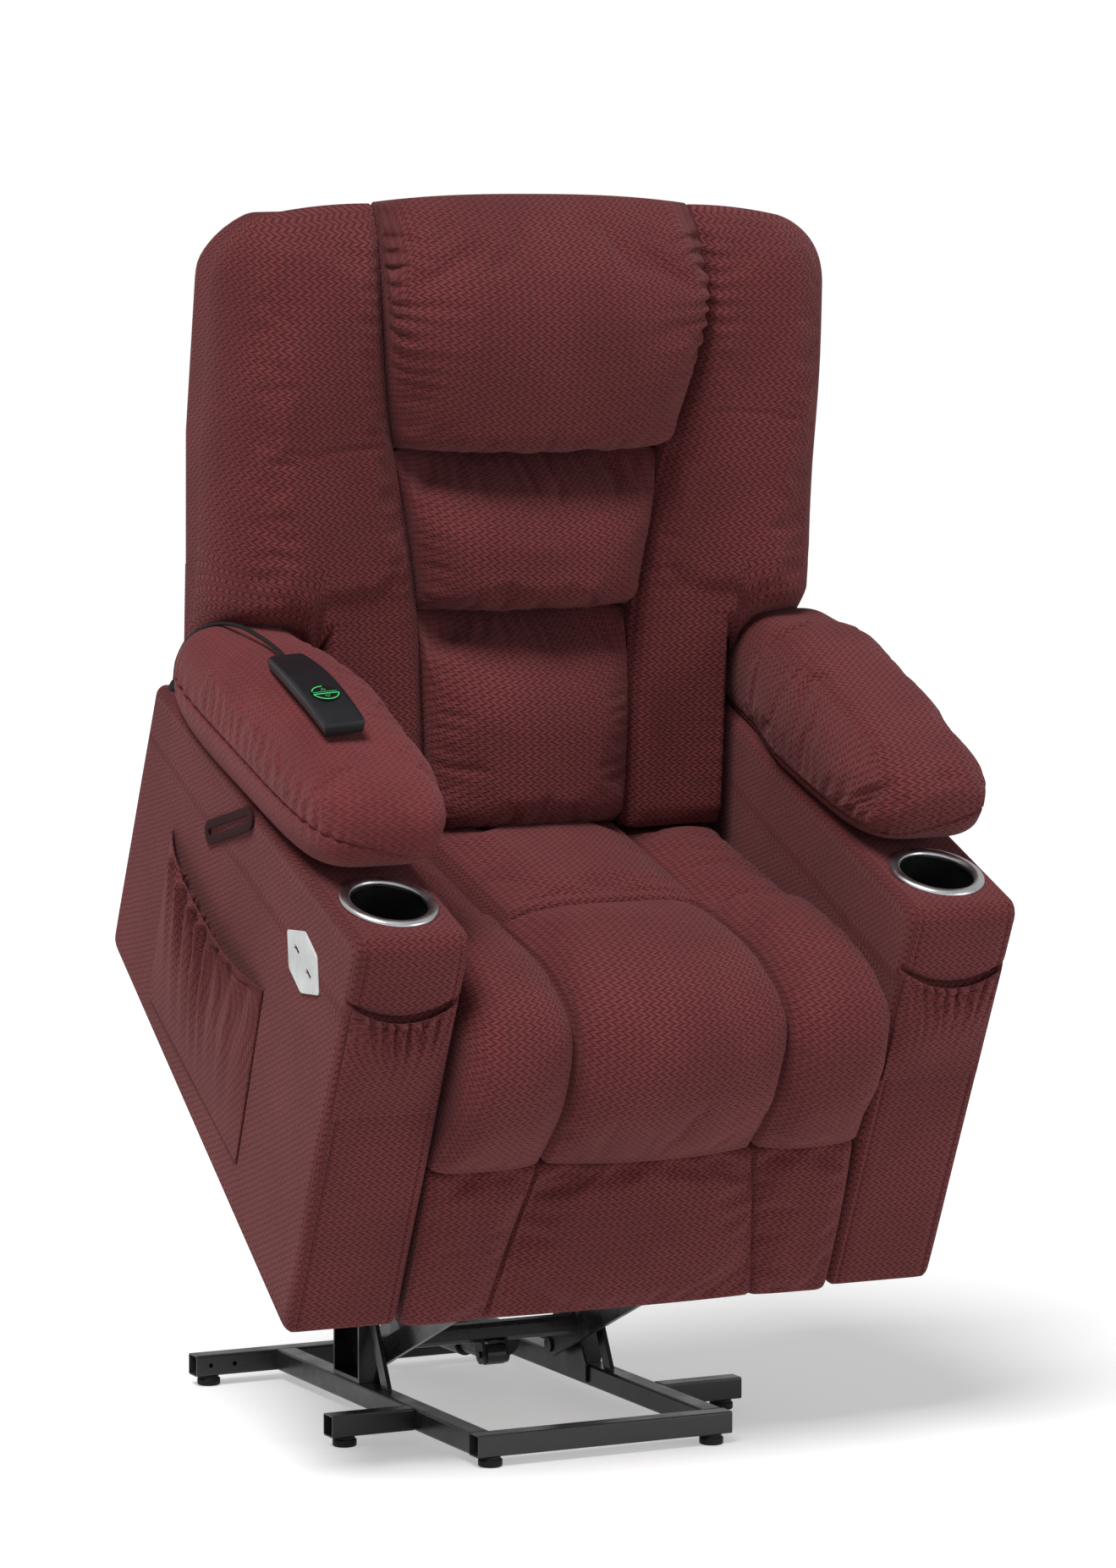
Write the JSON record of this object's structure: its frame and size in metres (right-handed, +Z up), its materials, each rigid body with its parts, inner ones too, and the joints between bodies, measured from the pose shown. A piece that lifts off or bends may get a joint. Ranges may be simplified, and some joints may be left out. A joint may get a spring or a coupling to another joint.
{
  "type": "lift recliner chair",
  "caption": "Powered lift recliner: upholstered seat, pillowed back, padded arms with cup wells and pockets, a corded handset and a lifting steel base, shown raised and tipped forward.",
  "frame": {"origin": "on the floor, midway across the chair and midway between its frontmost and rearmost points as raised", "axes": "+Z up, the chair's front towards -Y, +X to the right as seen from the front"},
  "size_m": [0.818, 0.7989, 1.3842],
  "materials": {
    "black_steel": "satin black powder coat",
    "upholstery": "burgundy woven fabric",
    "rubber": "matte black",
    "black_plastic": "charcoal, lightly textured",
    "chrome": "bright",
    "white_plastic": "off-white",
    "zinc_steel": "zinc plated",
    "strap": "dark webbing",
    "board": "bare plywood"
  },
  "bodies": {
    "base": {"base_front_tube": "black_steel", "base_rail_l": "black_steel", "base_rail_r": "black_steel", "base_outrigger_l": "black_steel", "base_outrigger_r": "black_steel", "base_rear_tube": "black_steel", "foot_front_l": "rubber", "foot_front_r": "rubber", "foot_outrigger_l": "rubber", "foot_outrigger_r": "rubber", "foot_rear_l": "rubber", "foot_rear_r": "rubber", "upright_l": "black_steel", "upright_r": "black_steel"},
    "lower_lift_arms": {"lower_lift_arm_l": "black_steel", "lower_lift_arm_r": "black_steel", "lower_cross_bar": "black_steel"},
    "upper_lift_arms": {"upper_lift_arm_l": "black_steel", "upper_lift_arm_r": "black_steel", "torque_tube": "black_steel"},
    "actuator_body": {"actuator_housing": "black_plastic"},
    "actuator_rod": {"actuator_rod": "zinc_steel"},
    "carriage": {"carriage_rail_l": "black_steel", "carriage_rail_r": "black_steel", "carriage_front_bar": "black_steel", "carriage_rear_bar": "black_steel", "arm_l": "upholstery", "arm_r": "upholstery", "arm_pad_l": "upholstery", "arm_pad_r": "upholstery", "cup_l": "black_plastic", "cup_r": "black_plastic", "cup_ring_l": "chrome", "cup_ring_r": "chrome", "front_pocket_l": "upholstery", "front_pocket_r": "upholstery", "side_pocket": "upholstery", "usb_plate": "white_plastic", "pull_loop": "strap", "handset_shell": "black_plastic", "handset_cord": "rubber", "cord_gland": "black_plastic"},
    "button_up": {"handset_button_up": "black_plastic"},
    "button_down": {"handset_button_down": "black_plastic"},
    "seat": {"seat_frame": "board", "seat_cushion": "upholstery"},
    "back": {"back_frame": "upholstery", "back_wing_l": "upholstery", "back_wing_r": "upholstery", "lumbar_lower": "upholstery", "lumbar_upper": "upholstery", "head_pillow": "upholstery"},
    "legrest_rear_links": {"legrest_rear_link_l": "zinc_steel", "legrest_rear_link_r": "zinc_steel"},
    "legrest_front_links": {"legrest_front_link_l": "zinc_steel", "legrest_front_link_r": "zinc_steel"},
    "legrest_control_links": {"legrest_control_link_l": "zinc_steel", "legrest_control_link_r": "zinc_steel"},
    "legrest": {"legrest_board": "board", "legrest_pad": "upholstery"}
  },
  "joints": [
    {"name": "lift", "type": "hinge", "parent": "base", "child": "lower_lift_arms", "pos_m": [0, 0.1945, 0.0509], "axis": [1, 0, 0], "range_deg": [0, 22.66]},
    {"name": "carriage_tilt", "type": "hinge", "parent": "lower_lift_arms", "child": "carriage", "pos_m": [0, -0.15027, 0.2], "axis": [1, 0, 0], "range_deg": [-47.46, 0]},
    {"name": "upper_lift_arm", "type": "hinge", "parent": "base", "child": "upper_lift_arms", "pos_m": [0, 0.1789, 0.1786], "axis": [1, 0, 0], "range_deg": [0, 24.55]},
    {"name": "actuator_swing", "type": "hinge", "parent": "base", "child": "actuator_body", "pos_m": [0, 0.3615, 0.062], "axis": [1, 0, 0], "range_deg": [0, 5.12]},
    {"name": "actuator_stroke", "type": "slide", "parent": "actuator_body", "child": "actuator_rod", "axis": [0, -1, 0.008], "range_m": [-0.05314, 0]},
    {"name": "button_up_press", "type": "slide", "parent": "carriage", "child": "button_up", "axis": [0.0687, 0.3814, -0.9219], "range_m": [0, 0.001], "stiffness_N_per_m": 300, "springref_m": -0.001},
    {"name": "button_down_press", "type": "slide", "parent": "carriage", "child": "button_down", "axis": [0.0687, 0.3814, -0.9219], "range_m": [0, 0.001], "stiffness_N_per_m": 300, "springref_m": -0.001},
    {"name": "seat_travel", "type": "slide", "parent": "carriage", "child": "seat", "axis": [0, -0.9444, -0.3289], "range_m": [0, 0.05]},
    {"name": "recline", "type": "hinge", "parent": "seat", "child": "back", "pos_m": [0, 0.13791, 0.61612], "axis": [-1, 0, 0], "range_deg": [0, 45]},
    {"name": "legrest_rear_link", "type": "hinge", "parent": "seat", "child": "legrest_rear_links", "pos_m": [0, -0.16547, 0.36223], "axis": [1, 0, 0], "range_deg": [-140, 0]},
    {"name": "legrest_front_link", "type": "hinge", "parent": "legrest_rear_links", "child": "legrest_front_links", "pos_m": [0, -0.01549, 0.36014], "axis": [1, 0, 0], "range_deg": [0, 104.55]},
    {"name": "legrest_control_link", "type": "hinge", "parent": "legrest_rear_links", "child": "legrest_control_links", "pos_m": [0, -0.02385, 0.37851], "axis": [1, 0, 0], "range_deg": [0, 103.41]},
    {"name": "legrest_turn", "type": "hinge", "parent": "legrest_front_links", "child": "legrest", "pos_m": [0, -0.19439, 0.27804], "axis": [1, 0, 0], "range_deg": [-44.56, 0]}
  ],
  "couplings": [
    {"joint": "carriage_tilt", "follows": "lift", "ratio": -2.0944},
    {"joint": "upper_lift_arm", "follows": "lift", "ratio": 1.083},
    {"joint": "actuator_swing", "follows": "lift", "ratio": 0.22555},
    {"joint": "actuator_stroke", "follows": "lift", "m_per_rad": -0.13434},
    {"joint": "seat_travel", "follows": "recline", "m_per_rad": 0.063662},
    {"joint": "legrest_rear_link", "follows": "recline", "ratio": -3.1111},
    {"joint": "legrest_front_link", "follows": "recline", "ratio": 2.3233},
    {"joint": "legrest_control_link", "follows": "recline", "ratio": 2.2978},
    {"joint": "legrest_turn", "follows": "recline", "ratio": -0.99}
  ]
}
